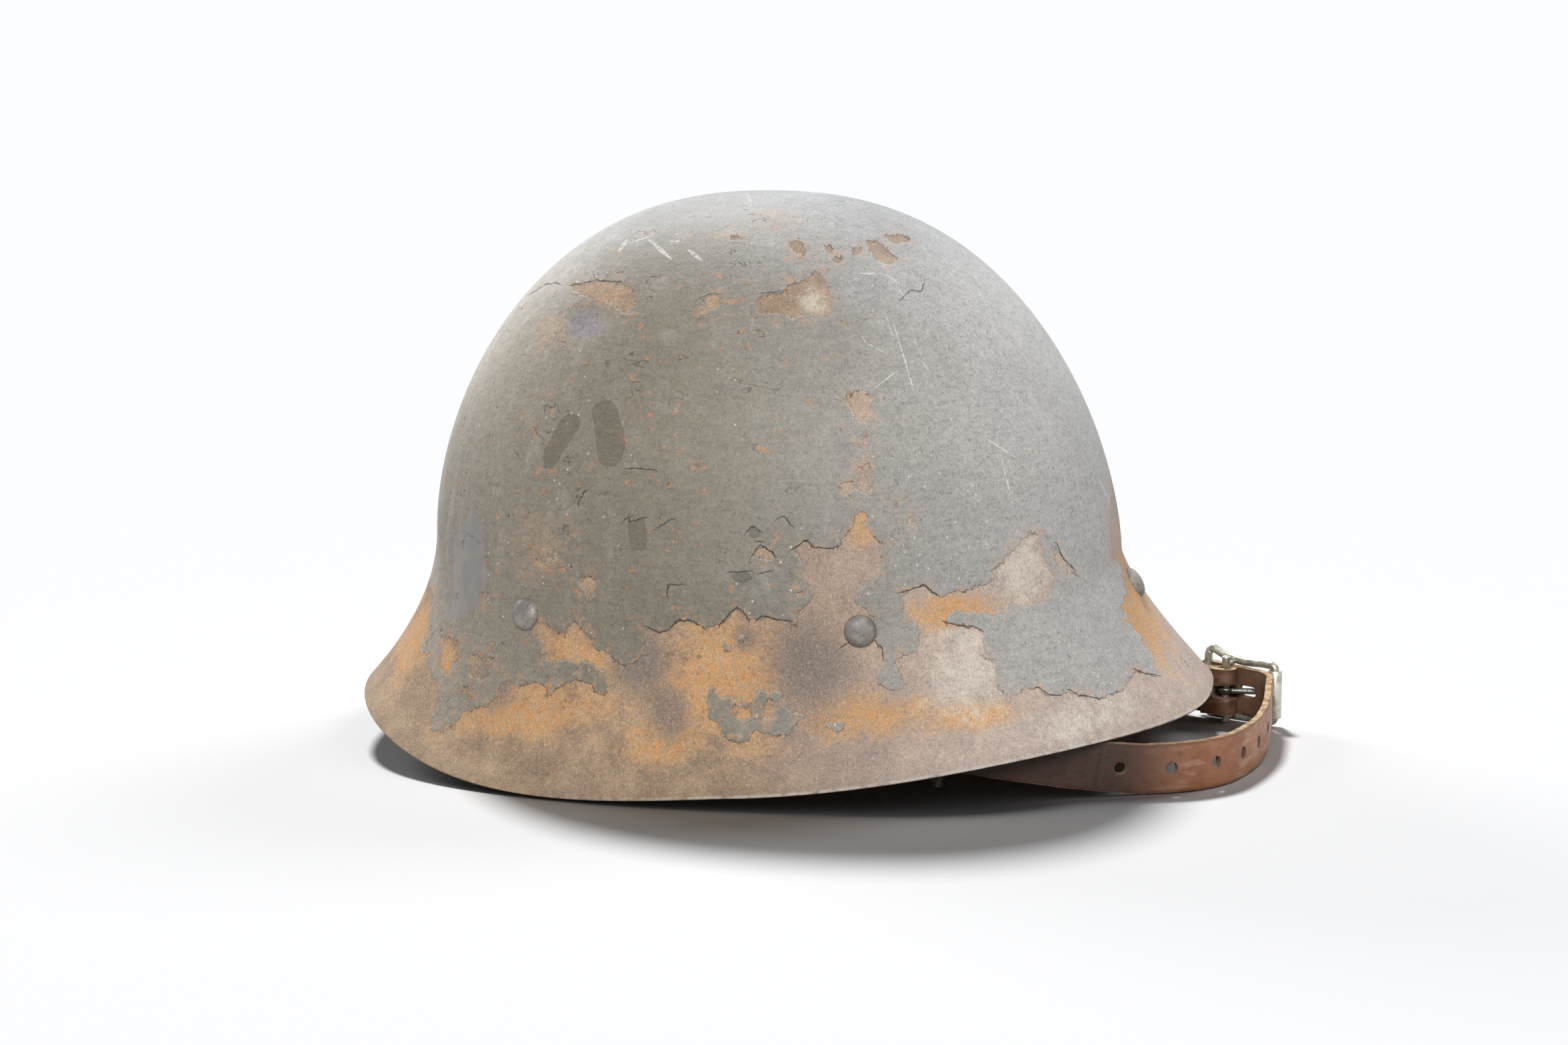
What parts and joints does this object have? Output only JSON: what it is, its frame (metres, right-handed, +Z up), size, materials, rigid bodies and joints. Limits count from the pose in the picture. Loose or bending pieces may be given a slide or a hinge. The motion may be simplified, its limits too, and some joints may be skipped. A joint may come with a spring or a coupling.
{
  "type": "military helmet",
  "caption": "Bell-shaped steel helmet with a flared rim, riveted leather liner and a buckled leather chin strap that swings on wire hangers.",
  "frame": {"origin": "middle of the head opening, on the plane that the helmet stands on", "axes": "+Z up to the crown; +X from the visor towards the neck guard; +Y to the side where the buckle lies"},
  "size_m": [0.3173, 0.234, 0.1875],
  "materials": {
    "shell_paint": "worn grey paint with rust showing through",
    "rivet_paint": "worn grey paint on steel rivets",
    "plain_steel": "dull aged steel",
    "liner_leather": "dry brown leather",
    "strap_leather": "worn brown leather with tan cut edges",
    "buckle_nickel": "dull nickel-plated steel"
  },
  "bodies": {
    "helmet": {"shell": "shell_paint", "rivet_rear": "rivet_paint", "rivet_side_left": "rivet_paint", "rivet_side_right": "rivet_paint", "rivet_front_left": "rivet_paint", "rivet_front_right": "rivet_paint", "burr_rear": "plain_steel", "burr_side_left": "plain_steel", "burr_side_right": "plain_steel", "burr_front_left": "plain_steel", "burr_front_right": "plain_steel", "spacer_rear": "plain_steel", "spacer_front_left": "plain_steel", "spacer_front_right": "plain_steel", "liner_band": "plain_steel", "sweatband": "liner_leather", "tongue_1": "liner_leather", "tongue_2": "liner_leather", "tongue_3": "liner_leather", "tongue_4": "liner_leather", "tongue_5": "liner_leather", "tongue_6": "liner_leather", "tongue_7": "liner_leather", "tongue_8": "liner_leather", "crown_ring": "liner_leather", "tab_left": "plain_steel", "tab_right": "plain_steel", "hinge_pin_left": "plain_steel", "hinge_pin_right": "plain_steel"},
    "chin_strap": {"hanger_left": "plain_steel", "hanger_right": "plain_steel", "strap_long": "strap_leather", "strap_short": "strap_leather", "stud_left": "buckle_nickel", "stud_right": "buckle_nickel", "stud_buckle": "buckle_nickel", "buckle_frame": "buckle_nickel", "buckle_pin": "buckle_nickel"},
    "roller": {"buckle_roller": "buckle_nickel"},
    "prong": {"buckle_prong": "buckle_nickel"}
  },
  "joints": [
    {"name": "strap_swing", "type": "hinge", "parent": "helmet", "child": "chin_strap", "pos_m": [0.03959, 0, 0.0226], "axis": [0, 1, 0], "range_deg": [0, 110]},
    {"name": "roller_spin", "type": "hinge", "parent": "chin_strap", "child": "roller", "pos_m": [0.169, 0.034, 0.0114], "axis": [0, 0, 1], "continuous": true},
    {"name": "prong_lift", "type": "hinge", "parent": "chin_strap", "child": "prong", "pos_m": [0.15184, 0.03783, 0.0114], "axis": [0, 0, 1], "range_deg": [0, 8]}
  ]
}
